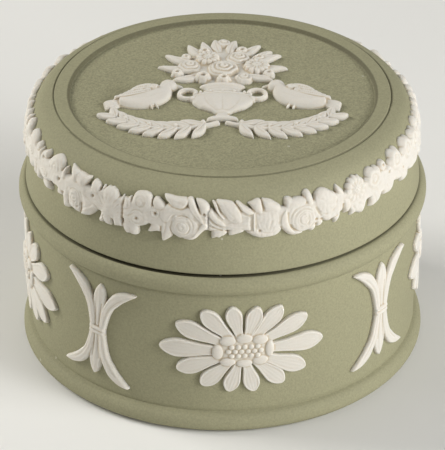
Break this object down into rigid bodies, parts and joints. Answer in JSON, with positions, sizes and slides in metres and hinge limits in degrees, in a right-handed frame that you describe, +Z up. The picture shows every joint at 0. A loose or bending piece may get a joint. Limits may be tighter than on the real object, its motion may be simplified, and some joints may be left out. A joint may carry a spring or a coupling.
{
  "type": "jasperware box",
  "caption": "Small round stoneware box with a lift-off lid, white applied flower and leaf sprigs on its wall, a floral garland round the lid and a relief on top.",
  "frame": {"origin": "on the table under the middle of the foot, bottom centre of the whole box", "axes": "+Z up, -Y to the front that the picture shows, +X to its right"},
  "size_m": [0.076, 0.076, 0.0509],
  "materials": {
    "green_body": "matte unglazed sage green stoneware",
    "white_sprig": "matte unglazed white stoneware"
  },
  "bodies": {
    "box": {"box_base": "green_body", "flower_sprig_1": "white_sprig", "flower_sprig_2": "white_sprig", "flower_sprig_3": "white_sprig", "flower_sprig_4": "white_sprig", "leaf_sprig_1": "white_sprig", "leaf_sprig_2": "white_sprig", "leaf_sprig_3": "white_sprig", "leaf_sprig_4": "white_sprig"},
    "lid": {"lid": "green_body", "garland_strip_1": "white_sprig", "garland_strip_2": "white_sprig", "garland_strip_3": "white_sprig", "garland_strip_4": "white_sprig", "relief_urn": "white_sprig", "relief_bouquet": "white_sprig", "relief_dove_left": "white_sprig", "relief_dove_right": "white_sprig", "relief_branch_left": "white_sprig", "relief_branch_right": "white_sprig"}
  },
  "joints": [
    {"name": "lid_lift", "type": "slide", "parent": "box", "child": "lid", "axis": [0, 0, 1], "range_m": [0, 0.06]}
  ]
}
